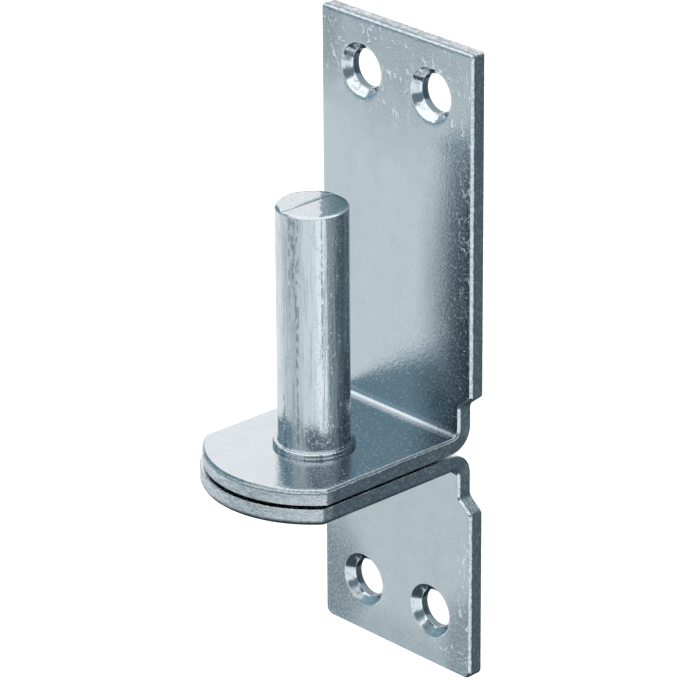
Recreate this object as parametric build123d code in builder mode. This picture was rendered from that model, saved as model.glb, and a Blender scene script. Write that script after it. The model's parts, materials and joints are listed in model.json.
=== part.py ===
from build123d import *
import os

# A gate hinge pin: a round pin riveted through the tongues of two bent steel angles.
# The angles screw to a post, one reaching up from the foot of the pin and one reaching down.
# The origin is on the axis of the pin, at the top of its collar, where the eye of the gate turns.
# +Z runs up the pin, and +Y points at the post.

# Driving sizes, in millimetres
# Both angles
sheet = 3.0
plate_width = 38.0
tongue_width = 32.0
pin_to_wall = 23.0
tongue_gap = 0.5
bend_radius = 1.4
neck_height = 5.6
shoulder_rise = 2.4
neck_fillet = 1.3
shoulder_fillet = 1.0
tongue_corner_radius = 0.6
edge_rounding = 0.35

# The upper angle
upper_plate_height = 72.5
upper_tip_radius = 19.8
upper_corner_radius = 0.6
upper_hole_margin = 10.0

# The lower angle
lower_plate_height = 41.0
lower_tip_radius = 20.3
lower_corner_radius = 1.7
lower_hole_margin = 10.5

# Screw holes
hole_spacing = 17.5
hole_radius = 3.6
countersink_radius = 5.05
countersink_angle = 90.0

# The pin
pin_radius = 6.5
pin_height = 44.5
pin_chamfer = 0.5
crop_line = -1.35
crop_step = 0.25
collar_radius = 7.4
collar_height = 1.0
collar_rounding = 0.45

# The riveted foot of the pin
rivet_radius = 5.5
rivet_clearance = 0.05
rivet_head_radius = 8.0
rivet_head_height = 2.0

# Levels and places that follow from the sizes
plate_front = pin_to_wall - sheet
upper_tongue_top = -collar_height
upper_tongue_underside = upper_tongue_top - sheet
lower_tongue_top = upper_tongue_underside - tongue_gap
lower_tongue_underside = lower_tongue_top - sheet


def bent_angle(inner_face, up, plate_height, tip_radius, corner_radius, hole_margin):
    """One angle. Its plate rises from the inner face of its tongue, or hangs from it where up is -1."""
    outer_face = inner_face - up * sheet
    neck_end = inner_face + up * neck_height
    shoulder_end = neck_end + up * shoulder_rise
    plate_end = inner_face + up * plate_height

    with BuildPart() as angle:
        # The bent strip, seen from its side
        with BuildSketch(Plane.YZ) as strip:
            with BuildLine():
                Polyline(
                    (-tip_radius, inner_face),
                    (plate_front, inner_face),
                    (plate_front, plate_end),
                    (pin_to_wall, plate_end),
                    (pin_to_wall, outer_face),
                    (-tip_radius, outer_face),
                    close=True,
                )
            make_face()
            fillet(strip.vertices().sort_by_distance((plate_front, inner_face))[0], bend_radius)
            fillet(strip.vertices().sort_by_distance((pin_to_wall, outer_face))[0], bend_radius + sheet)
        extrude(amount=plate_width / 2, both=True)

        # The outline of the plate, its shoulders and its neck, seen from the front
        with BuildSketch(Plane.XZ) as outline:
            with BuildLine():
                Polyline(
                    (0, outer_face),
                    (tongue_width / 2, outer_face),
                    (tongue_width / 2, neck_end),
                    (plate_width / 2, shoulder_end),
                    (plate_width / 2, plate_end),
                    (0, plate_end),
                )
                mirror(about=Plane.YZ)
            make_face()
            # Corners are taken from the far end of the plate, so the levels before them keep their order
            fillet(outline.vertices().group_by(Axis.Y)[::up][3], corner_radius)
            fillet(outline.vertices().group_by(Axis.Y)[::up][2], shoulder_fillet)
            fillet(outline.vertices().group_by(Axis.Y)[::up][1], neck_fillet)
        extrude(amount=pin_to_wall + tip_radius, both=True, mode=Mode.INTERSECT)

        # The round tip of the tongue, seen from above
        with BuildSketch(Plane.XY.offset(outer_face)):
            Circle(tip_radius)
            with Locations((0, pin_to_wall / 2)):
                Rectangle(plate_width, pin_to_wall)
        extrude(amount=up * (sheet + plate_height), mode=Mode.INTERSECT)

        # The two corners where the round tip meets the sides of the tongue
        fillet(angle.edges().filter_by(Axis.Z).sort_by(Axis.Y)[:2], tongue_corner_radius)

        # The press rounds the rim of the inner side: plate front, inside of the bend and tongue face
        plate_face = angle.faces().filter_by(Axis.Y).sort_by(Axis.Y)[0]
        bend_face = angle.faces().sort_by_distance((0, plate_front, inner_face))[0]
        tongue_face = angle.faces().filter_by(Axis.Z).sort_by_distance((0, 0, inner_face))[0]
        side_edges = plate_face.edges() + bend_face.edges() + tongue_face.edges()
        fillet([edge for edge in side_edges if side_edges.count(edge) == 1], edge_rounding)

        # The hole for the riveted foot of the pin
        with Locations((0, 0, inner_face)):
            Hole(rivet_radius + rivet_clearance)

        # The countersunk screw holes
        with Locations(Plane((0, plate_front, plate_end - up * hole_margin), (1, 0, 0), (0, -1, 0))):
            with GridLocations(hole_spacing, 0, 2, 1):
                CounterSinkHole(hole_radius, countersink_radius, sheet, countersink_angle)
    return angle


upper_angle = bent_angle(
    upper_tongue_top, 1, upper_plate_height, upper_tip_radius, upper_corner_radius, upper_hole_margin
)
upper_angle.part.label = "upper_angle"

lower_angle = bent_angle(
    lower_tongue_underside, -1, lower_plate_height, lower_tip_radius, lower_corner_radius, lower_hole_margin
)
lower_angle.part.label = "lower_angle"

# The pin, its collar and the foot that is riveted over under both tongues
rivet_head_bottom = lower_tongue_underside - rivet_head_height
rivet_dome_radius = (rivet_head_radius**2 + rivet_head_height**2) / (2 * rivet_head_height)

with BuildPart() as hinge_pin:
    with BuildSketch(Plane.XZ) as half_section:
        with BuildLine():
            Polyline(
                (0, rivet_head_bottom),
                (0, pin_height),
                (pin_radius, pin_height),
                (pin_radius, 0),
                (collar_radius, 0),
                (collar_radius, upper_tongue_top),
                (rivet_radius, upper_tongue_top),
                (rivet_radius, lower_tongue_underside),
                (rivet_head_radius, lower_tongue_underside),
            )
            RadiusArc((rivet_head_radius, lower_tongue_underside), (0, rivet_head_bottom), rivet_dome_radius)
        make_face()
        chamfer(half_section.vertices().sort_by_distance((pin_radius, pin_height))[0], pin_chamfer)
        fillet(half_section.vertices().sort_by_distance((collar_radius, 0))[0], collar_rounding)
    revolve(axis=Axis.Z)

    # The cropped end: the shear left one side of the top a little lower
    with BuildSketch(Plane.XY.offset(pin_height)):
        with Locations((crop_line + pin_radius, 0)):
            Rectangle(2 * pin_radius, 2 * pin_radius)
    extrude(amount=-crop_step, mode=Mode.SUBTRACT)
hinge_pin.part.label = "hinge_pin"

os.makedirs("parts", exist_ok=True)
export_step(upper_angle.part, "parts/upper_angle.step")
export_step(lower_angle.part, "parts/lower_angle.step")
export_step(hinge_pin.part, "parts/hinge_pin.step")
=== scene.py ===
"""The looks of the gate hinge pin: bent, zinc plated angles and the pin that is riveted through them."""
import json
import math

import bmesh
import bpy
import numpy as np
from mathutils import Matrix, Vector, noise
from mathutils.geometry import delaunay_2d_cdt


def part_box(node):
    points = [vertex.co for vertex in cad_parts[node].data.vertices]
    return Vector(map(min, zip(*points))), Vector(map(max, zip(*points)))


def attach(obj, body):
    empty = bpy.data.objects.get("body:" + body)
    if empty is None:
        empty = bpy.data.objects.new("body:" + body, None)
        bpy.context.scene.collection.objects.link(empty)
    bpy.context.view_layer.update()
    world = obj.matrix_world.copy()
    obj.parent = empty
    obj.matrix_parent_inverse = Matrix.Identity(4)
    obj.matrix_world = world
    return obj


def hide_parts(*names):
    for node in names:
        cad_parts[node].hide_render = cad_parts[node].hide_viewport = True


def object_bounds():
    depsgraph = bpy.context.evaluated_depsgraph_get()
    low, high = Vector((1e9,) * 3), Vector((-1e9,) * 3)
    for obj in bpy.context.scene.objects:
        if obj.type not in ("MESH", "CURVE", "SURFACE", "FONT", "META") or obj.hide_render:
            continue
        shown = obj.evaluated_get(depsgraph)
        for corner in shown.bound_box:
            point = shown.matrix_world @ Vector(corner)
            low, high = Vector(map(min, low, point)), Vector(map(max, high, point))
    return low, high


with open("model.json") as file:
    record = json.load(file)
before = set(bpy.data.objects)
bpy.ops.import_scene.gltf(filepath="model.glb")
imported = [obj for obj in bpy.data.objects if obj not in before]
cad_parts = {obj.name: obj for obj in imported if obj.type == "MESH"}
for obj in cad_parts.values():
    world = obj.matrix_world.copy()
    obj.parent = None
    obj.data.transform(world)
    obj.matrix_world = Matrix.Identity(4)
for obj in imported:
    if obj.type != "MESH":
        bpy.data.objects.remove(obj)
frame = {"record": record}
cad_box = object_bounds()

# Places that the frame gives, in metres
mounts = {mount["name"]: mount for mount in frame["record"]["mounts"]}
upper_low, upper_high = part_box("upper_angle")
lower_low, lower_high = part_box("lower_angle")
pin_low, pin_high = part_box("hinge_pin")
screws = mounts["wall_screws"]
pin_radius = mounts["pin_shank"]["dims"]["r_mm"] / 1000
hole_radius = screws["dims"]["hole_r_mm"] / 1000
hole_across = screws["dims"]["spacing_x_mm"] / 2000
hole_apart = screws["dims"]["spacing_y_mm"] / 2000
screws_top = screws["pos_m"][2] + hole_apart
screws_bottom = screws["pos_m"][2] - hole_apart
plate_half = upper_high.x
wall_face = upper_high.y

# Sizes of the sheet, in metres
SHEET = 0.003
TONGUE_HALF = 0.016
TONGUE_CORNER = 0.0006
BEND_RADIUS = 0.0014
NECK_HEIGHT = 0.0056
SHOULDER_RISE = 0.0024
NECK_FILLET = 0.0013
SHOULDER_FILLET = 0.001
UPPER_CORNER = 0.0006
LOWER_CORNER = 0.0017
BACK_ROUND = 0.00012
RIVET_HOLE_RADIUS = 0.00555
# The edge that the press rolled over, as inset and depth from the face to the side
ROLL_OVER = (
    (0.00042, 0.0),
    (0.00035, 0.000015),
    (0.00031, 0.00005),
    (0.00019, 0.00024),
    (0.00007, 0.00045),
    (0.00002, 0.00056),
    (0.0, 0.00066),
)
COUNTERSINK_RADIUS = 0.00505
# The softened rim of a countersink, and the softened edge where its cone meets the straight part of the hole
COUNTERSINK_LIP = 0.0001
CONE_FOOT = 0.00002
CONE_FOOT_HEIGHT = 0.0001

# Sizes of the pin, in metres
COLLAR_RADIUS = 0.0074
COLLAR_HEIGHT = 0.001
COLLAR_ROUND = 0.00045
SHANK_RADIUS = 0.0055
RIVET_HEAD_RADIUS = 0.008
RIVET_HEAD_HEIGHT = 0.002
END_CHAMFER = 0.0005
CROP_LINE = -0.00135
CROP_STEP = 0.00025
CROP_WALL = 0.0001
CROP_MARGIN = 0.00005
# The tiny slopes at the foot of the collar, as width and height, and where the bar meets the collar
COLLAR_SLOPE = (0.00005, 0.0001)
BAR_SLOPE = 0.0001

# The sheared side, in metres. It is wavy above and torn below: where the tears start, how deep the waves and
# the tears are, and how large their grains are.
TEAR_START = 0.0009
TEAR_BLEND = 0.0006
TEAR_EDGE_SIZES = (0.002, 0.002, 0.002)
TEAR_DEPTH = 0.00002
TEAR_COARSE_DEPTH = 0.00005
TEAR_COARSE_SIZES = (0.0006, 0.0006, 0.0006)
TEAR_FINE_DEPTH = 0.00003
TEAR_FINE_SIZES = (0.0003, 0.0003, 0.0003)
WAVE_DEPTH = 0.000012
WAVE_SIZES = (0.0012, 0.0012, 0.0012)

# The drawn bar and its cropped end, in metres: how deep the lines, dents and grain are, and how large
LINE_DEPTH = 0.000008
LINE_SIZES = (0.0009, 0.0009, 0.03)
DENT_DEPTH = 0.000012
DENT_SIZES = (0.0016, 0.0016, 0.0022)
END_GRAIN_DEPTH = 0.00002
END_GRAIN_SIZES = (0.0009, 0.0025, 1.0)
END_GRAIN_SLICE = 1.7
# The grain of the end stops before its rim, at so many widths of the chamfer
END_GRAIN_STOP = 1.2

# How finely the meshes are divided, in metres, in numbers of points or rings, or as shares of a length
OUTLINE_SPACING = 0.0003
GRID_SPACING = 0.001
CORNER_STEPS = 4
CUT_LEVELS = 13
BACK_LEVELS = 4
BEND_ROWS = 9
HOLE_POINTS = 96
CONE_SHARES = np.linspace(0.15, 0.95, 6)
STRAIGHT_SHARES = (0.35, 0.65, 0.93)
PIN_POINTS = 256
PIN_SPACING = 0.0004
EDGE_WIDTH = 0.00004
DOME_LEVELS = 12
COLLAR_LEVELS = 6
CHAMFER_SHARES = (0.15, 0.45)
END_SPACING = 0.0005
END_MARGIN = 0.0003
CROP_LINE_POINTS = 60
CROP_LINE_MARGIN = 0.0002

# How the filling of a face by triangles is asked for: the whole hull, and points nearer than this are one
WHOLE_HULL = 0
SAME_POINT = 1e-9

plate_front = wall_face - SHEET
bend_start = plate_front - BEND_RADIUS
bend_length = BEND_RADIUS * math.pi / 2


def unit(vector):
    """A direction of length 1."""
    return vector / np.linalg.norm(vector)


def flat_height(height):
    """Where a height above the tongue lies along the flat sheet."""
    return bend_start + bend_length + height - BEND_RADIUS


def divided(points, spacing):
    """A closed outline with points at most a spacing apart."""
    result = []
    for here, there in zip(points, points[1:] + points[:1]):
        steps = max(1, math.ceil(np.linalg.norm(there - here) / spacing))
        result += [here + (there - here) * step / steps for step in range(steps)]
    return result


def rounded(corners, spacing):
    """A closed outline through corners given as x, s and radius, with its corners rounded."""
    points = []
    for index, (x, s, radius) in enumerate(corners):
        corner = np.array((x, s))
        if radius == 0:
            points.append(corner)
            continue
        before = unit(np.array(corners[index - 1][:2]) - corner)
        after = unit(np.array(corners[(index + 1) % len(corners)][:2]) - corner)
        half = math.acos(np.dot(before, after)) / 2
        centre = corner + unit(before + after) * radius / math.sin(half)
        start = corner + before * radius / math.tan(half) - centre
        end = corner + after * radius / math.tan(half) - centre
        sweep = math.pi - 2 * half
        steps = max(CORNER_STEPS, round(2 * sweep * radius / spacing))
        for share in np.linspace(0, 1, steps + 1):
            arm = start * math.sin((1 - share) * sweep) + end * math.sin(share * sweep)
            points.append(centre + arm / math.sin(sweep))
    return divided(points, spacing)


def angle_outline(tip_radius, plate_height, corner_radius):
    """The outline of an angle laid flat. x is across it and s runs from the tip to the end of the plate."""
    tip_turn = math.asin(TONGUE_HALF / tip_radius)
    tip_steps = round(tip_turn * tip_radius / OUTLINE_SPACING)
    turns = np.linspace(0, tip_turn, tip_steps)[:-1]
    right = [(tip_radius * math.sin(turn), -tip_radius * math.cos(turn), 0) for turn in turns]
    right += [
        (TONGUE_HALF, -tip_radius * math.cos(tip_turn), TONGUE_CORNER),
        (TONGUE_HALF, flat_height(NECK_HEIGHT), NECK_FILLET),
        (plate_half, flat_height(NECK_HEIGHT + SHOULDER_RISE), SHOULDER_FILLET),
        (plate_half, flat_height(plate_height), corner_radius),
    ]
    left = [(-x, s, radius) for x, s, radius in reversed(right) if x > 0]
    return np.array(rounded(right + left, OUTLINE_SPACING))


def outward(loop):
    """The outward direction at each point of a closed outline that runs counter-clockwise."""
    along = np.roll(loop, -1, axis=0) - np.roll(loop, 1, axis=0)
    away = np.stack([along[:, 1], -along[:, 0]], axis=1)
    return away / np.linalg.norm(away, axis=1, keepdims=True)


def inside(points, loop):
    """Which points lie inside a closed outline, by counting the edges to their right."""
    x, y = points[:, 0:1], points[:, 1:2]
    ax, ay = loop[:, 0], loop[:, 1]
    bx, by = np.roll(ax, -1), np.roll(ay, -1)
    spans = (ay > y) != (by > y)
    with np.errstate(divide="ignore", invalid="ignore"):
        cross = ax + (y - ay) / (by - ay) * (bx - ax)
    return (np.sum(spans & (x < cross), axis=1) % 2) == 1


def distance_to(points, loop):
    """How far each point is from the nearest point of an outline."""
    nearest = [np.linalg.norm(loop - point, axis=1).min() for point in points]
    return np.array(nearest)


def circle(x, s, radius, count):
    """Points round a circle, counter-clockwise."""
    turns = np.arange(count) * 2 * math.pi / count
    return np.stack([x + radius * np.cos(turns), s + radius * np.sin(turns)], axis=1)


def placed(name, data):
    """A new object in the scene."""
    made = bpy.data.objects.new(name, data)
    bpy.context.scene.collection.objects.link(made)
    return made


class Shell:
    """A closed shell made of rings and filled faces. Each face has a kind, which picks its material."""

    def __init__(self):
        self.points = []
        self.faces = []
        self.kinds = []

    def ring(self, loop, depth):
        """Adds the points of a loop, at one depth or at a depth each, and returns their numbers."""
        first = len(self.points)
        depths = np.broadcast_to(depth, len(loop))
        self.points += [(x, s, d) for (x, s), d in zip(loop, depths)]
        return list(range(first, len(self.points)))

    def join(self, ring, other, kind):
        """Adds the band of faces between two rings of as many points."""
        count = len(ring)
        for index in range(count):
            after = (index + 1) % count
            self.faces.append((ring[index], ring[after], other[after], other[index]))
            self.kinds.append(kind)

    def fill(self, rings, lines, extra, height, kind):
        """Fills the first ring with triangles, around the other rings, through extra points and lines."""
        numbers = [number for ring in rings for number in ring]
        flat = [Vector(self.points[number][:2]) for number in numbers]
        edges = []
        first = 0
        for ring in rings:
            count = len(ring)
            edges += [(first + step, first + (step + 1) % count) for step in range(count)]
            first += count
        for line in lines:
            edges += [(first + step, first + step + 1) for step in range(len(line) - 1)]
            first += len(line)
        added = [point for line in lines for point in line] + list(extra)
        start = len(self.points)
        self.points += [(x, s, height(x, s)) for x, s in added]
        numbers += range(start, len(self.points))
        flat += [Vector(point) for point in added]
        _, _, triangles, origins, _, _ = delaunay_2d_cdt(flat, edges, [], WHOLE_HULL, SAME_POINT)
        places = np.array([flat[origin[0]] for origin in origins])
        triangles = [triangle for triangle in triangles if len(triangle) == 3]
        centres = np.array([places[list(triangle)].mean(axis=0) for triangle in triangles])
        kept = inside(centres, np.array([self.points[number][:2] for number in rings[0]]))
        for ring in rings[1:]:
            kept &= ~inside(centres, np.array([self.points[number][:2] for number in ring]))
        for triangle, keep in zip(triangles, kept):
            if keep:
                self.faces.append(tuple(numbers[origins[corner][0]] for corner in triangle))
                self.kinds.append(kind)

    def make(self, name, place, materials):
        """Makes the Blender object, with each point put in its place in the row frame."""
        mesh = bpy.data.meshes.new(name)
        mesh.from_pydata([place(*point) for point in self.points], [], self.faces)
        mesh.polygons.foreach_set("material_index", self.kinds)
        flat = mesh.attributes.new("flat_mm", "FLOAT_VECTOR", "POINT")
        flat.data.foreach_set("vector", (np.array(self.points) * 1000).ravel())
        for material in materials:
            mesh.materials.append(material)
        shell = bmesh.new()
        shell.from_mesh(mesh)
        bmesh.ops.recalc_face_normals(shell, faces=shell.faces)
        shell.to_mesh(mesh)
        shell.free()
        mesh.shade_smooth()
        return placed(name, mesh)


def clamped(value):
    """A value kept between 0 and 1."""
    return min(1.0, max(0.0, value))


def waves(point, sizes, seed=0.0):
    """Noise from -1 to 1 at a point, with grains of about the given sizes in the three directions."""
    x, y, z = (place / size for place, size in zip(point, sizes))
    return noise.noise(Vector((x + seed, y, z)))


def grains(point, sizes, seed=0.0):
    """The same noise from 0 to 1."""
    return 0.5 + 0.5 * waves(point, sizes, seed)


def cut_inset(x, s, depth, inset):
    """How far a point of the sheared side lies inside the outline: smooth near the face, torn below."""
    edge = 0.5 * waves((x, s, 0), TEAR_EDGE_SIZES, seed=3.1)
    torn = clamped((depth - TEAR_START) / TEAR_BLEND + edge)
    coarse = TEAR_COARSE_DEPTH * grains((x, s, depth), TEAR_COARSE_SIZES, seed=7.7)
    fine = TEAR_FINE_DEPTH * grains((x, s, depth), TEAR_FINE_SIZES, seed=11.3)
    wave = WAVE_DEPTH * grains((x, s, 0), WAVE_SIZES, seed=5.9)
    return inset + wave + torn * (TEAR_DEPTH + coarse + fine)


def cut_rings():
    """Inset and depth of each ring round the sheared side, from the pressed face to the back."""
    rings = list(ROLL_OVER)
    depths = np.linspace(ROLL_OVER[-1][1], SHEET - BACK_ROUND, CUT_LEVELS)[1:]
    rings += [(0, depth) for depth in depths]
    for turn in np.linspace(0, math.pi / 2, BACK_LEVELS)[1:]:
        rings.append((BACK_ROUND * (1 - math.cos(turn)), SHEET - BACK_ROUND * (1 - math.sin(turn))))
    return rings


def countersink_rings():
    """Radius and depth of each ring down a screw hole."""
    cone_depth = COUNTERSINK_RADIUS - hole_radius
    rings = [
        (COUNTERSINK_RADIUS + COUNTERSINK_LIP, 0.0),
        (COUNTERSINK_RADIUS + COUNTERSINK_LIP / 3, COUNTERSINK_LIP / 6),
        (COUNTERSINK_RADIUS - COUNTERSINK_LIP / 2, COUNTERSINK_LIP * 0.7),
    ]
    rings += [(COUNTERSINK_RADIUS - share * cone_depth, share * cone_depth) for share in CONE_SHARES]
    rings.append((hole_radius + CONE_FOOT, cone_depth + CONE_FOOT))
    rings.append((hole_radius, cone_depth + CONE_FOOT_HEIGHT))
    rings += [(hole_radius, cone_depth + (SHEET - cone_depth) * share) for share in STRAIGHT_SHARES]
    rings.append((hole_radius + BACK_ROUND, SHEET))
    return rings


# The kinds of face of an angle, in the order of its materials
FACE, CUT, SUNK = range(3)


def bent_angle(name, up, tongue_face, plate_end, screw_level, tip_radius, corner_radius, materials):
    """One angle, made flat with its holes and its sheared side, and then bent."""
    plate_height = up * (plate_end - tongue_face)
    outline = angle_outline(tip_radius, plate_height, corner_radius)
    away = outward(outline)
    shell = Shell()

    side = []
    for inset, depth in cut_rings():
        insets = [cut_inset(x, s, depth, inset) for x, s in outline]
        side.append(shell.ring(outline - away * np.array(insets)[:, None], depth))
    for ring, other in zip(side, side[1:]):
        shell.join(ring, other, CUT)

    hole_height = up * (screw_level - tongue_face)
    front_holes = []
    back_holes = []
    for x in (-hole_across, hole_across):
        hole = []
        for radius, depth in countersink_rings():
            hole.append(shell.ring(circle(x, flat_height(hole_height), radius, HOLE_POINTS), depth))
        for ring, other in zip(hole, hole[1:]):
            shell.join(ring, other, SUNK)
        front_holes.append(hole[0])
        back_holes.append(hole[-1])
    rivet_hole = [shell.ring(circle(0, 0, RIVET_HOLE_RADIUS, HOLE_POINTS), depth) for depth in (0, SHEET)]
    shell.join(*rivet_hole, SUNK)
    front_holes.append(rivet_hole[0])
    back_holes.append(rivet_hole[1])

    across = np.arange(-plate_half, plate_half, GRID_SPACING) + GRID_SPACING / 2
    rows = list(np.arange(-tip_radius, bend_start, GRID_SPACING))
    rows += list(np.linspace(bend_start, bend_start + bend_length, BEND_ROWS))
    rows += list(np.arange(bend_start + bend_length, flat_height(plate_height), GRID_SPACING)[1:])
    grid = np.array([(x, s) for s in rows for x in across])
    for holes, edge, depth in ((front_holes, side[0], 0.0), (back_holes, side[-1], SHEET)):
        loops = [np.array([shell.points[number][:2] for number in ring]) for ring in (edge, *holes)]
        free = inside(grid, loops[0]) & (distance_to(grid, loops[0]) > GRID_SPACING / 2)
        for loop in loops[1:]:
            free &= ~inside(grid, loop) & (distance_to(grid, loop) > GRID_SPACING / 2)
        shell.fill([edge, *holes], [], grid[free], lambda x, s, level=depth: level, FACE)

    def bend(x, s, depth):
        """Where a point of the flat sheet comes to lie in the row frame."""
        if s <= bend_start:
            return x, s, tongue_face - up * depth
        if s >= bend_start + bend_length:
            return x, plate_front + depth, tongue_face + up * (BEND_RADIUS + s - bend_start - bend_length)
        turn = (s - bend_start) / BEND_RADIUS
        reach = BEND_RADIUS + depth
        rise = BEND_RADIUS - reach * math.cos(turn)
        return x, bend_start + reach * math.sin(turn), tongue_face + up * rise

    piece = shell.make(name, bend, materials)
    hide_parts(name)
    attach(piece, "root")
    return piece


# The kinds of face of the pin, in the order of its materials
WALL, END, HEAD = range(3)


def pin_profile():
    """Radius, height and kind of each ring of the pin, from the rivet head to the chamfer of its end."""
    head_level = pin_low.z + RIVET_HEAD_HEIGHT
    collar_low = -COLLAR_HEIGHT
    dome = (RIVET_HEAD_RADIUS**2 + RIVET_HEAD_HEIGHT**2) / (2 * RIVET_HEAD_HEIGHT)
    dome_turn = math.asin(RIVET_HEAD_RADIUS / dome)
    profile = []
    for turn in np.linspace(dome_turn / DOME_LEVELS, dome_turn, DOME_LEVELS):
        profile.append((dome * math.sin(turn), pin_low.z + dome * (1 - math.cos(turn)), HEAD))
    profile += [(SHANK_RADIUS, head_level, HEAD), (SHANK_RADIUS, collar_low, HEAD)]
    slope_width, slope_height = COLLAR_SLOPE
    profile.append((COLLAR_RADIUS - slope_width, collar_low, WALL))
    profile.append((COLLAR_RADIUS, collar_low + slope_height, WALL))
    profile.append((COLLAR_RADIUS, -COLLAR_ROUND, WALL))
    for turn in np.linspace(0, math.pi / 2, COLLAR_LEVELS)[1:]:
        radius = COLLAR_RADIUS - COLLAR_ROUND * (1 - math.cos(turn))
        profile.append((radius, -COLLAR_ROUND * (1 - math.sin(turn)), WALL))
    profile += [(pin_radius + BAR_SLOPE, 0.0, WALL), (pin_radius, BAR_SLOPE, WALL)]
    wall_top = pin_high.z - END_CHAMFER
    levels = np.linspace(BAR_SLOPE, wall_top, round(wall_top / PIN_SPACING))[1:-1]
    # The last level lies close under the chamfer, which keeps the shading of the wall even up to there
    profile += [(pin_radius, level, WALL) for level in (*levels, wall_top - EDGE_WIDTH, wall_top)]
    chamfer = [END_CHAMFER * share for share in CHAMFER_SHARES]
    profile += [(pin_radius - reach, wall_top + reach, END) for reach in chamfer]
    return profile


def pin_inset(x, y, z, radius):
    """How far the drawn bar lies inside its radius at a point: lines along the bar and shallow dents."""
    if radius <= SHANK_RADIUS:
        return 0.0
    lines = grains((x, y, z), LINE_SIZES)
    dents = grains((x, y, z), DENT_SIZES, seed=4.2)
    return LINE_DEPTH * lines + DENT_DEPTH * dents


def end_height(x, y):
    """Height of the cropped end at a point: a low step across it, and the grain that the shear left."""
    drop = CROP_STEP * clamped((x - CROP_LINE) / CROP_WALL)
    if math.hypot(x, y) > pin_radius - END_CHAMFER * END_GRAIN_STOP:
        return pin_high.z - drop
    return pin_high.z - drop - END_GRAIN_DEPTH * grains((x, y, END_GRAIN_SLICE), END_GRAIN_SIZES)


def pin(materials):
    """The pin, turned about its axis, with its cropped end."""
    shell = Shell()
    unit_circle = circle(0, 0, 1.0, PIN_POINTS)
    rings = []
    profile = pin_profile()
    for radius, level, _ in profile:
        insets = [pin_inset(x * radius, y * radius, level, radius) for x, y in unit_circle]
        rings.append(shell.ring(unit_circle * (radius - np.array(insets))[:, None], level))
    for index, (ring, other) in enumerate(zip(rings, rings[1:])):
        shell.join(ring, other, profile[index + 1][2])
    foot = len(shell.points)
    shell.points.append((0.0, 0.0, pin_low.z))
    for index, number in enumerate(rings[0]):
        shell.faces.append((foot, rings[0][(index + 1) % PIN_POINTS], number))
        shell.kinds.append(HEAD)

    levels = np.array([end_height(x * pin_radius, y * pin_radius) for x, y in unit_circle])
    rim = unit_circle * (pin_radius - END_CHAMFER + pin_high.z - levels)[:, None]
    rim_ring = shell.ring(rim, levels)
    shell.join(rings[-1], rim_ring, END)
    lines = []
    crop_end = CROP_LINE + CROP_WALL
    for x in (CROP_LINE - CROP_MARGIN, CROP_LINE, crop_end, crop_end + CROP_MARGIN):
        reach = math.sqrt((pin_radius - END_CHAMFER) ** 2 - x**2) - CROP_LINE_MARGIN
        lines.append([(x, y) for y in np.linspace(-reach, reach, CROP_LINE_POINTS)])
    steps = np.arange(-pin_radius, pin_radius, END_SPACING)
    grid = np.array([(x, y) for x in steps for y in steps])
    free = np.hypot(grid[:, 0], grid[:, 1]) < pin_radius - END_CHAMFER - END_MARGIN
    free &= np.abs(grid[:, 0] - CROP_LINE - CROP_WALL / 2) > END_MARGIN
    shell.fill([rim_ring], lines, grid[free], end_height, END)

    piece = shell.make("hinge_pin", lambda x, y, z: (x, y, z), materials)
    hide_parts("hinge_pin")
    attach(piece, "root")
    return piece


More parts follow.
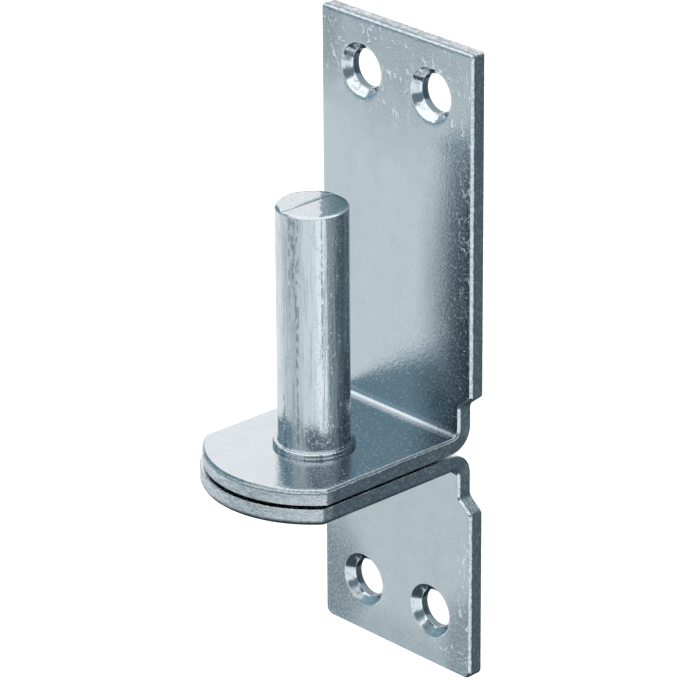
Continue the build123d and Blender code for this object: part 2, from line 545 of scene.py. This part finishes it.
class Graph:
    """Adds shader nodes to a tree. An input is a plain value or the output of another node."""

    def __init__(self, tree):
        self.tree = tree
        tree.nodes.clear()

    def add(self, kind, inputs, output=0, **settings):
        node = self.tree.nodes.new("ShaderNode" + kind)
        for name, value in settings.items():
            setattr(node, name, value)
        for key, value in inputs.items():
            if isinstance(value, bpy.types.NodeSocket):
                self.tree.links.new(value, node.inputs[key])
            else:
                node.inputs[key].default_value = value
        return node.outputs[output] if node.outputs else None

    def math(self, operation, *values):
        return self.add("Math", dict(enumerate(values)), operation=operation)

    def plus(self, first, second):
        return self.math("ADD", first, second)

    def minus(self, first, second):
        return self.math("SUBTRACT", first, second)

    def times(self, first, second):
        return self.math("MULTIPLY", first, second)

    def larger(self, first, second):
        return self.math("MAXIMUM", first, second)

    def blend(self, share, low, high):
        """A value between low and high."""
        return self.add("Mix", {"Factor": share, "A": low, "B": high}, data_type="FLOAT")

    def tint(self, share, low, high):
        """A colour between low and high."""
        inputs = {"Factor": share, 6: low, 7: high}
        return self.add("Mix", inputs, output=2, data_type="RGBA")

    def ramp(self, value, low, high, to_low=0.0, to_high=1.0):
        """Takes low..high smoothly to to_low..to_high."""
        inputs = {0: value, 1: low, 2: high, 3: to_low, 4: to_high}
        return self.add("MapRange", inputs, interpolation_type="SMOOTHSTEP")

    def ramp_linear(self, value, low, high):
        """Takes low..high evenly to 0..1."""
        return self.add("MapRange", {0: value, 1: low, 2: high})

    def split(self, vector):
        """The x, y and z of a vector."""
        node = self.tree.nodes.new("ShaderNodeSeparateXYZ")
        self.tree.links.new(vector, node.inputs[0])
        return tuple(node.outputs)

    def stretched(self, vector, factors):
        """A vector with each of its parts multiplied."""
        return self.add("VectorMath", {0: vector, 1: factors}, operation="MULTIPLY")

    def length(self, vector):
        """The length of a vector."""
        return self.add("VectorMath", {0: vector}, output="Value", operation="LENGTH")

    def along(self, vector, direction):
        """How far a place lies in a direction given by its x and y."""
        inputs = {0: vector, 1: (*direction, 0.0)}
        return self.add("VectorMath", inputs, output="Value", operation="DOT_PRODUCT")

    def noise(self, vector, scale, detail=2.0, roughness=0.5):
        """Noise from 0 to 1, with this many grains to a millimetre."""
        inputs = {"Vector": vector, "Scale": scale, "Detail": detail, "Roughness": roughness}
        return self.add("TexNoise", inputs)

    def sway(self, vector, amount, **settings):
        """Noise about zero, which stays within half the amount to either side."""
        return self.times(self.minus(self.noise(vector, **settings), 0.5), amount)

    def cells(self, vector, scale):
        """The distance to the nearest cell centre, in cells, and a random value of that cell."""
        node = self.tree.nodes.new("ShaderNodeTexVoronoi")
        node.inputs["Scale"].default_value = scale
        self.tree.links.new(vector, node.inputs["Vector"])
        return node.outputs["Distance"], self.split(node.outputs["Color"])[0]


def new_material(name):
    """A material with an empty node tree, and the graph that fills it."""
    material = bpy.data.materials.new(name)
    material.use_nodes = True
    return material, Graph(material.node_tree)


def metal(name, paint):
    """A zinc plated material. paint(graph, place) gives its colour, roughness and height in millimetres."""
    material, graph = new_material(name)
    # Millimetres along the flat sheet, or in the frame of the pin
    place = graph.add("Attribute", {}, output=1, attribute_name="flat_mm")
    colour, roughness, height = paint(graph, place)
    bump = graph.add("Bump", {"Height": height, "Distance": 0.001, "Strength": 1.0})
    inputs = {"Base Color": colour, "Roughness": roughness, "Metallic": 1.0, "Normal": bump}
    graph.add("OutputMaterial", {"Surface": graph.add("BsdfPrincipled", inputs)})
    return material


# Colours of the plating, from the brightest marks to the darkest seams and painted shade
PEAK = (0.98, 0.99, 1.0, 1.0)
SHINE = (0.88, 0.91, 0.93, 1.0)
POLISHED = (0.76, 0.8, 0.83, 1.0)
BRIGHT = (0.64, 0.68, 0.71, 1.0)
DULL = (0.42, 0.47, 0.5, 1.0)
# A painted reflection of the plates, for the right of the pin's end
REFLECTED_TEAL = (0.27, 0.39, 0.42, 1.0)
DARK = (0.18, 0.23, 0.26, 1.0)

# Places in the looks, in millimetres. Where there are two, the look changes between them.
# The dull areas with their painted shade, and the knocked areas, fade out at these depths in the sheet, so
# the back stays plain
AREA_DEPTHS = (1.6, 1.4)
# Depths down the sheared side: where the roll-over ends, and where the dark line under it starts and ends
ROLLED_DEPTHS = (0.6, 0.44)
LINE_START = (0.52, 0.68)
LINE_END = (1.0, 0.76)
# The right sheared side is painted darker, a painted shade, up to a little before the end of the plate
PAINTED_SHADE_X = (1000 * TONGUE_HALF - 0.3, 1000 * TONGUE_HALF - 0.05)
PAINTED_SHADE_STOP = 0.3
PAINTED_SHADE_STOP_BLEND = 0.5
# The cut is painted lighter at the tip of the tongue, and most of all at its right: painted light
PAINTED_LIGHT_S = (-9.0, -11.0)
PAINTED_LIGHT_X = (4.0, 14.0)
# How deep the countersinks reach
CONE_DEPTH = 1000 * (COUNTERSINK_RADIUS - hole_radius)
CONE_DEPTH_BLEND = 0.2
# The side of the bar that is painted dark, a painted shade, as a direction, and how far out it starts, as
# shares of the radius
PAINTED_SHADE_HEADING = (0.927, 0.375)
PAINTED_SHADE_SHARES = (0.83, 0.96)
# Where the bar broke off when it was cropped, painted dark teal there as a painted reflection of the plates:
# beyond this distance from its axis in this direction
BREAK_AND_REFLECTION_HEADING = (0.68, 0.73)
BREAK_AND_REFLECTION_START = 1.2
BREAK_AND_REFLECTION_BLEND = 0.4
# The broken part, with its painted reflection, ends at the rim
RIM = 1000 * (pin_radius - END_CHAMFER)
RIM_BLEND = 0.1


def patch(graph, place, x, s, half_x, half_s):
    """A soft patch of the sheet round a point, 1 at its centre and 0 outside, all in millimetres."""
    shifted = graph.add("VectorMath", {0: place, 1: (x, s, 0.0)}, operation="SUBTRACT")
    scaled = graph.stretched(shifted, (1 / half_x, 1 / half_s, 0.0))
    return graph.ramp(graph.length(scaled), 1.0, 0.3)


def patches(graph, place, areas):
    """The strongest of several soft patches, on the front of the sheet only."""
    share = 0.0
    for x, s, half_x, half_s, strength in areas:
        share = graph.larger(share, graph.times(patch(graph, place, x, s, half_x, half_s), strength))
    return graph.times(share, graph.ramp(graph.split(place)[2], *AREA_DEPTHS))


def specks(graph, place, scale, size, amount):
    """Small round marks, size millimetres wide, in the given share of the cells."""
    distance, chance = graph.cells(place, scale)
    mark = graph.ramp(distance, size * scale, size * scale * 0.3)
    return graph.times(mark, graph.math("LESS_THAN", chance, amount))


def squiggles(graph, place, scale, width):
    """Thin curved scratches: where a slow noise passes its middle value, broken up by a finer noise."""
    slow = graph.minus(graph.noise(place, scale), 0.5)
    line = graph.ramp(graph.math("ABSOLUTE", slow), width, width * 0.3)
    return graph.times(line, graph.ramp(graph.noise(place, scale * 2.5), 0.46, 0.56))


def sheet_face(dull_and_shade_areas, knocked_areas):
    """Rolled sheet: faint lines along it, a fine grain, duller areas with painted shade, and areas of small
    knocks.
    """

    def paint(graph, place):
        streaks = graph.noise(graph.stretched(place, (1.0, 0.16, 1.0)), scale=0.22, detail=3.0)
        lines = graph.noise(graph.stretched(place, (1.0, 0.025, 1.0)), scale=1.3, detail=3.0)
        grain = graph.noise(place, scale=1.5, detail=3.0, roughness=0.75)

        # Duller plating and painted shade, strongest on the upper plate's right, where it stands in for the
        # mirrored pin
        dull_and_shade_patches = patches(graph, place, dull_and_shade_areas)
        speckle = graph.sway(place, 2.2, scale=2.2, detail=3.0, roughness=0.7)
        dullness_and_shade = graph.plus(dull_and_shade_patches, graph.sway(place, 0.5, scale=0.3, detail=4.0))
        dullness_and_shade = graph.plus(dullness_and_shade, graph.times(dull_and_shade_patches, speckle))
        dullness_and_shade = graph.plus(dullness_and_shade, graph.ramp(streaks, 0.35, 0.75, 0.0, 0.12))

        knocked = graph.plus(patches(graph, place, knocked_areas), 0.03)
        dots = specks(graph, place, scale=1.1, size=0.22, amount=graph.times(knocked, 0.4))
        patchy = graph.noise(place, scale=1.2, detail=3.0, roughness=0.6)
        flakes = graph.ramp(graph.minus(patchy, graph.blend(knocked, 0.75, 0.58)), 0.0, 0.1)
        scratches = squiggles(graph, graph.stretched(place, (1.0, 0.6, 1.0)), scale=0.3, width=0.022)
        scratches = graph.times(scratches, graph.ramp(knocked, 0.2, 0.8))
        marks = graph.larger(graph.larger(dots, flakes), scratches)
        matt = graph.ramp(grain, 0.56, 0.66)

        # Dull plating and painted shade darken the colour, and past 1 the painted shade goes on to dark
        colour = graph.tint(dullness_and_shade, BRIGHT, DULL)
        colour = graph.tint(graph.minus(dullness_and_shade, 1.0), colour, DARK)
        colour = graph.tint(graph.times(matt, 0.42), colour, PEAK)
        colour = graph.tint(graph.times(marks, 0.68), colour, PEAK)
        roughness = graph.blend(matt, 0.13, 0.52)
        height = graph.times(grain, 0.04)
        height = graph.plus(height, graph.times(lines, 0.008))
        height = graph.minus(height, graph.times(marks, 0.035))
        return colour, roughness, height

    return paint


def cut_side(plate_end):
    """Sheared side: a polished roll-over, a dark line, a mottled band, painted shade on the right, painted
    light at the tip.
    """

    def paint(graph, place):
        x, s, depth = graph.split(place)
        level = graph.plus(depth, graph.sway(place, 0.4, scale=0.9, detail=3.0))
        rolled = graph.ramp(level, *ROLLED_DEPTHS)
        line = graph.times(graph.ramp(level, *LINE_START), graph.ramp(level, *LINE_END))
        streaks = graph.noise(graph.stretched(place, (0.5, 0.5, 1.2)), scale=1.6, detail=4.0, roughness=0.7)
        grain = graph.noise(place, scale=1.9, detail=3.0, roughness=0.7)

        before_end = graph.ramp(s, plate_end - PAINTED_SHADE_STOP, plate_end - PAINTED_SHADE_STOP - PAINTED_SHADE_STOP_BLEND)
        # Painted shade: the right sheared side is painted darker
        painted_shade_side = graph.times(graph.ramp(x, *PAINTED_SHADE_X), before_end)
        # Painted light: the tip of the tongue is painted lighter, most of all at its right
        painted_light = graph.times(graph.ramp(s, *PAINTED_LIGHT_S), graph.ramp(x, *PAINTED_LIGHT_X, 0.2, 0.45))
        # The darkening is the mottle of the streaks together with the painted shade
        darkening = graph.plus(graph.ramp(streaks, 0.37, 0.6, 0.08, 0.66), graph.times(painted_shade_side, 0.65))
        glints = graph.times(graph.ramp(grain, 0.53, 0.63), graph.blend(painted_shade_side, 0.7, 0.22))

        colour = graph.tint(graph.minus(darkening, painted_light), BRIGHT, DARK)
        colour = graph.tint(glints, colour, SHINE)
        colour = graph.tint(graph.times(line, 0.8), colour, DARK)
        colour = graph.tint(rolled, colour, graph.tint(graph.ramp(grain, 0.38, 0.6), DULL, BRIGHT))
        torn = graph.plus(graph.ramp(streaks, 0.4, 0.7, 0.28, 0.42), graph.times(glints, 0.2))
        roughness = graph.blend(rolled, torn, 0.2)
        height = graph.times(graph.plus(streaks, grain), graph.blend(rolled, 0.12, 0.012))
        return colour, roughness, height

    return paint


def sunk_hole(graph, place):
    """Screw hole: a polished countersink with a few dull spots, and the straight part painted dark, a painted
    shade.
    """
    mottle = graph.noise(place, scale=1.2, detail=3.0, roughness=0.6)
    straight_part_shade = graph.ramp(graph.split(place)[2], CONE_DEPTH, CONE_DEPTH + CONE_DEPTH_BLEND)
    colour = graph.tint(graph.ramp(mottle, 0.52, 0.7), POLISHED, DULL)
    # Painted shade: the straight part down in the hole is painted dark
    colour = graph.tint(straight_part_shade, colour, DARK)
    roughness = graph.ramp(mottle, 0.3, 0.7, 0.1, 0.2)
    height = graph.times(mottle, 0.02)
    return colour, roughness, height


def bar_wall(graph, place):
    """Drawn bar: lines along it, dark scuffs and seams, painted shade on one side, and small bright knocks.
    """
    lines = graph.noise(graph.stretched(place, (1.0, 1.0, 0.015)), scale=1.0, detail=3.0, roughness=0.6)
    dashes = graph.noise(graph.stretched(place, (1.0, 1.0, 0.07)), scale=1.8, detail=3.0, roughness=0.7)
    grain = graph.noise(place, scale=1.9, detail=3.0, roughness=0.7)
    patchy = graph.noise(graph.stretched(place, (1.0, 1.0, 0.6)), scale=1.6, detail=3.0, roughness=0.6)
    marks = specks(graph, place, scale=1.1, size=0.2, amount=0.12)
    marks = graph.larger(marks, graph.ramp(patchy, 0.6, 0.7))
    seams = graph.noise(graph.stretched(place, (1.0, 1.0, 0.015)), scale=0.9, detail=1.0)
    breaks = graph.noise(graph.stretched(place, (1.0, 1.0, 0.4)), scale=1.6)
    seams = graph.times(graph.ramp(seams, 0.59, 0.65), graph.ramp(breaks, 0.42, 0.54))
    matt = graph.ramp(grain, 0.55, 0.66)
    # Painted shade: the side of the bar towards this heading is painted dark
    sideways = graph.math("DIVIDE", graph.along(place, PAINTED_SHADE_HEADING), 1000 * pin_radius)
    darkening = graph.ramp(graph.plus(sideways, graph.ramp(dashes, 0.3, 0.7, -0.03, 0.03)), *PAINTED_SHADE_SHARES)

    colour = graph.tint(graph.ramp(dashes, 0.47, 0.67, 0.0, 0.8), BRIGHT, DULL)
    colour = graph.tint(graph.times(darkening, 0.95), colour, DARK)
    colour = graph.tint(graph.times(seams, 0.6), colour, DARK)
    colour = graph.tint(graph.times(matt, 0.3), colour, SHINE)
    colour = graph.tint(graph.times(marks, 0.8), colour, SHINE)
    roughness = graph.plus(graph.blend(matt, 0.12, 0.45), graph.times(marks, 0.15))
    height = graph.times(lines, 0.08)
    height = graph.plus(height, graph.times(dashes, 0.012))
    height = graph.plus(height, graph.times(grain, 0.03))
    height = graph.minus(height, graph.times(graph.plus(marks, seams), 0.03))
    return colour, roughness, height


def bar_end(graph, place):
    """Cropped end of the bar: a bright sheared part with faint lines, and the broken part, dark with a
    painted reflection.
    """
    lines = graph.noise(graph.stretched(place, (1.0, 0.15, 1.0)), scale=1.5, detail=3.0)
    grain = graph.noise(place, scale=1.6, detail=4.0, roughness=0.6)
    past = graph.plus(graph.along(place, BREAK_AND_REFLECTION_HEADING), graph.sway(place, 2.0, scale=0.5))
    radius = graph.length(graph.stretched(place, (1.0, 1.0, 0.0)))
    broken_and_reflection = graph.ramp(past, BREAK_AND_REFLECTION_START, BREAK_AND_REFLECTION_START + BREAK_AND_REFLECTION_BLEND)
    broken_and_reflection = graph.times(broken_and_reflection, graph.ramp(radius, RIM + RIM_BLEND, RIM - RIM_BLEND))

    colour = graph.tint(graph.ramp(grain, 0.45, 0.7, 0.0, 0.5), BRIGHT, DULL)
    # Painted reflection: the broken part on the right of the end is painted dark teal, as the plates it
    # mirrors
    colour = graph.tint(broken_and_reflection, colour, graph.tint(graph.ramp(grain, 0.4, 0.65), REFLECTED_TEAL, DULL))
    roughness = graph.blend(broken_and_reflection, 0.16, 0.3)
    height = graph.times(graph.plus(lines, grain), graph.blend(broken_and_reflection, 0.012, 0.035))
    return colour, roughness, height


# Levels along the flat sheets, in millimetres
upper_hole = 1000 * flat_height(screws_top - upper_low.z - SHEET)
upper_end = 1000 * flat_height(upper_high.z - upper_low.z - SHEET)
lower_hole = 1000 * flat_height(lower_high.z - SHEET - screws_bottom)
lower_end = 1000 * flat_height(lower_high.z - SHEET - lower_low.z)
half = 1000 * plate_half
# Duller areas with painted shade, and knocked areas, of the sheets. Each is x, s, half its width, half its
# height and its strength.
UPPER_DULL_AND_SHADE = (
    (0, upper_end + 4, 34, 34, 0.7),
    (-half - 2, upper_end - 4, 14, 18, 1.1),
    (half, upper_end - 12, 16, 20, 0.4),
    # These two are painted shade, where the plate mirrors the pin
    (half + 2, 44, 18, 40, 1.75),
    (half - 2, 25, 16, 13, 1.8),
)
UPPER_KNOCKS = (
    (0, upper_hole + 2, 28, 15, 0.8),
    (-half + 2, upper_hole + 5, 9, 12, 0.9),
    (half, upper_hole - 15, 6, 45, 0.7),
    (half - 4, upper_hole, 8, 12, 1.0),
)
LOWER_DULL_AND_SHADE = (
    (0, lower_hole, 60, 60, 0.3),
    (-half - 4, lower_end - 8, 24, 24, 1.6),
    (0, lower_end + 2, 40, 14, 0.8),
    (half, lower_end - 5, 12, 18, 1.4),
)
LOWER_KNOCKS = (
    (half, lower_hole - 4, 6, 26, 0.7),
    (half - 8, lower_end - 5, 6, 3, 0.8),
)
sunk_material = metal("zinc_countersink", sunk_hole)
upper_face = metal("zinc_upper_face", sheet_face(UPPER_DULL_AND_SHADE, UPPER_KNOCKS))
lower_face = metal("zinc_lower_face", sheet_face(LOWER_DULL_AND_SHADE, LOWER_KNOCKS))
upper_materials = [upper_face, metal("zinc_upper_side", cut_side(upper_end)), sunk_material]
lower_materials = [lower_face, metal("zinc_lower_side", cut_side(lower_end)), sunk_material]
bar_material = metal("zinc_bar_wall", bar_wall)
end_material = metal("zinc_bar_end", bar_end)

upper = bent_angle(
    "upper_angle",
    up=1,
    tongue_face=upper_low.z + SHEET,
    plate_end=upper_high.z,
    screw_level=screws_top,
    tip_radius=-upper_low.y,
    corner_radius=UPPER_CORNER,
    materials=upper_materials,
)
lower = bent_angle(
    "lower_angle",
    up=-1,
    tongue_face=lower_high.z - SHEET,
    plate_end=lower_low.z,
    screw_level=screws_bottom,
    tip_radius=-lower_low.y,
    corner_radius=LOWER_CORNER,
    materials=lower_materials,
)
hinge_pin = pin([bar_material, end_material, bar_material])

WHITE = (1.0, 1.0, 1.0, 1.0)
# The floor, which the object hangs over, in metres
FLOOR_DROP = 0.6
FLOOR_SIZE = 12.0
FLOOR_COLOUR = (0.8, 0.8, 0.8, 1.0)
FLOOR_GLOW = 0.5


def floor_material():
    """A matt pale floor that the camera sees as white, and that keeps a soft shadow."""
    material, graph = new_material("floor")
    lit = graph.add("BsdfDiffuse", {"Color": FLOOR_COLOUR})
    glow = graph.add("Emission", {"Color": WHITE, "Strength": FLOOR_GLOW})
    both = graph.add("AddShader", {0: lit, 1: glow})
    seen = graph.add("LightPath", {}, output="Is Camera Ray")
    mirrored = graph.add("LightPath", {}, output="Is Glossy Ray")
    through = graph.add("LightPath", {}, output="Is Transmission Ray")
    shown = graph.math("MINIMUM", graph.plus(graph.plus(seen, mirrored), through), 1.0)
    graph.add("OutputMaterial", {"Surface": graph.add("MixShader", {0: shown, 1: lit, 2: both})})
    return material


def pale_floor():
    """A wide square, well below the object."""
    mesh = bpy.data.meshes.new("floor")
    reach = FLOOR_SIZE / 2
    level = cad_box[0].z - FLOOR_DROP
    sides = ((-reach, -reach), (reach, -reach), (reach, reach), (-reach, reach))
    mesh.from_pydata([(x, y, level) for x, y in sides], [], [(0, 1, 2, 3)])
    mesh.materials.append(floor_material())
    floor = placed("floor", mesh)


# The light tent round the object, which its metal mirrors. Its boards are placed by heading in degrees, where
# 0 is towards -Y, in front of the plates, and 90 is towards +X. One ring hangs below the object's level and
# one above it.
TENT_RADIUS = 0.5
TENT_SEGMENTS = 96
LOW_BOARDS = (
    (-180, (0.55, 0.63, 0.65)),
    (-160, (0.7, 0.76, 0.78)),
    (-138, (0.8, 0.86, 0.88)),
    (-100, (1.0, 1.05, 1.06)),
    (-75, (1.0, 1.05, 1.06)),
    (-56, (0.76, 0.83, 0.85)),
    (-40, (0.76, 0.83, 0.85)),
    (-13, (0.55, 0.63, 0.67)),
    (20, (0.88, 0.97, 0.98)),
    (45, (0.86, 0.94, 0.96)),
    (62, (1.14, 1.18, 1.2)),
    (85, (1.14, 1.18, 1.2)),
    (91, (0.4, 0.46, 0.49)),
    (108, (0.28, 0.34, 0.37)),
    (150, (0.3, 0.36, 0.39)),
    (180, (0.55, 0.63, 0.65)),
)
HIGH_BOARDS = (
    (-180, (0.7, 0.74, 0.76)),
    (-160, (1.1, 1.1, 1.1)),
    (-113, (1.1, 1.1, 1.1)),
    (-104, (0.24, 0.37, 0.44)),
    (-30, (0.24, 0.37, 0.44)),
    (-16, (0.62, 0.68, 0.7)),
    (16, (0.62, 0.68, 0.7)),
    (30, (0.14, 0.2, 0.24)),
    (60, (0.14, 0.2, 0.24)),
    (130, (0.22, 0.28, 0.32)),
    (160, (0.45, 0.51, 0.55)),
    (180, (0.7, 0.74, 0.76)),
)
CEILING = (1.25, 1.28, 1.3)
# The rises in degrees where the low boards pass into the high ones, and where those pass into the ceiling
LEVEL_RISE = (-12, -4)
CEILING_RISE = (41, 47)
# The ceiling comes down lower on the right and on the left, by so many degrees. Each drop grows between two
# headings.
RIGHT_DROP = 11
RIGHT_TURN = (-20, 15)
LEFT_DROP = 11
LEFT_TURN = (-54, -66)
# The low boards reach higher on the right, by so many degrees
RIGHT_LIFT = 8
# It is dark right below the object, and from a smaller drop on the far left
UNDER = (0.05, 0.07, 0.09)
UNDER_RISE = (-44, -49)
LEFT_UNDER_RISE = (-29, -35)
LEFT_UNDER_TURN = (-92, -100)


def ring_of_boards(graph, heading, boards):
    """The colour of a ring of boards at a heading in degrees."""
    position = graph.ramp_linear(heading, -180, 180)
    node = graph.tree.nodes.new("ShaderNodeValToRGB")
    graph.tree.links.new(position, node.inputs["Fac"])
    stops = node.color_ramp.elements
    for index, (degrees, colour) in enumerate(boards):
        place = (degrees + 180) / 360
        # A new colour ramp already has two stops
        stop = stops[index] if index < 2 else stops.new(place)
        stop.position = place
        stop.color = (*colour, 1.0)
    return node.outputs["Color"]


def tent_material():
    """The boards, the ceiling and the dark below, by their heading and rise as seen from the object."""
    material, graph = new_material("light_tent")
    place = graph.add("TexCoord", {}, output="Object")
    x, y, z = graph.split(graph.add("VectorMath", {0: place}, operation="NORMALIZE"))
    heading = graph.math("DEGREES", graph.math("ARCTAN2", x, graph.times(y, -1.0)))
    rise = graph.math("DEGREES", graph.math("ARCSINE", z))
    low = ring_of_boards(graph, heading, LOW_BOARDS)
    high = ring_of_boards(graph, heading, HIGH_BOARDS)
    lifted = graph.minus(rise, graph.ramp(heading, *RIGHT_TURN, 0.0, RIGHT_LIFT))
    colour = graph.tint(graph.ramp(lifted, *LEVEL_RISE), low, high)
    left_under = graph.times(graph.ramp(rise, *LEFT_UNDER_RISE), graph.ramp(heading, *LEFT_UNDER_TURN))
    under = graph.larger(left_under, graph.ramp(rise, *UNDER_RISE))
    colour = graph.tint(under, colour, (*UNDER, 1.0))
    right_drop = graph.ramp(heading, *RIGHT_TURN, 0.0, RIGHT_DROP)
    left_drop = graph.ramp(heading, *LEFT_TURN, 0.0, LEFT_DROP)
    raised = graph.plus(rise, graph.plus(right_drop, left_drop))
    colour = graph.tint(graph.ramp(raised, *CEILING_RISE), colour, (*CEILING, 1.0))
    graph.add("OutputMaterial", {"Surface": graph.add("Emission", {"Color": colour, "Strength": 1.0})})
    return material


def light_tent():
    """A ball of boards round the object. The camera looks through it, and only metal mirrors it."""
    mesh = bpy.data.meshes.new("light_tent")
    ball = bmesh.new()
    levels = TENT_SEGMENTS // 2
    bmesh.ops.create_uvsphere(ball, u_segments=TENT_SEGMENTS, v_segments=levels, radius=TENT_RADIUS)
    ball.to_mesh(mesh)
    ball.free()
    mesh.materials.append(tent_material())
    tent = placed("light_tent", mesh)
    tent.location = (cad_box[0] + cad_box[1]) / 2
    tent.visible_camera = False
    tent.visible_diffuse = False
    tent.visible_shadow = False


def white_world():
    """A plain white background."""
    world = bpy.data.worlds.new("world")
    world.use_nodes = True
    bpy.context.scene.world = world
    graph = Graph(world.node_tree)
    graph.add("OutputWorld", {"Surface": graph.add("Background", {"Color": WHITE, "Strength": 1.0})})


pale_floor()
light_tent()
white_world()

# The camera, from the fit to the photograph, in metres and degrees
CAMERA_AIM = Vector((-0.00606, 0.012, 0.01325))
CAMERA_DISTANCE = 0.82668
CAMERA_AZIMUTH = math.radians(47.106)
CAMERA_ELEVATION = math.radians(23.512)
CAMERA_ROLL = math.radians(-0.402)
FOCAL_PIXELS = 4648.3
FRAME_PIXELS = 680
SENSOR = 36.0
NEAR_CLIP = 0.01


def photo_camera():
    """The camera at the photograph's viewing angle."""
    across = Vector((math.cos(CAMERA_AZIMUTH), math.sin(CAMERA_AZIMUTH), 0))
    back = Vector(
        (
            math.sin(CAMERA_AZIMUTH) * math.cos(CAMERA_ELEVATION),
            -math.cos(CAMERA_AZIMUTH) * math.cos(CAMERA_ELEVATION),
            math.sin(CAMERA_ELEVATION),
        )
    )
    above = back.cross(across)
    rolled_across = math.cos(CAMERA_ROLL) * across + math.sin(CAMERA_ROLL) * above
    rolled_above = math.cos(CAMERA_ROLL) * above - math.sin(CAMERA_ROLL) * across
    turn = Matrix((rolled_across, rolled_above, back)).transposed().to_4x4()
    data = bpy.data.cameras.new("camera")
    data.sensor_width = SENSOR
    data.lens = FOCAL_PIXELS / FRAME_PIXELS * SENSOR
    data.clip_start = NEAR_CLIP
    camera = placed("camera", data)
    camera.matrix_world = Matrix.Translation(CAMERA_AIM + back * CAMERA_DISTANCE) @ turn
    bpy.context.scene.camera = camera


photo_camera()
bpy.context.scene.view_settings.view_transform = "Standard"
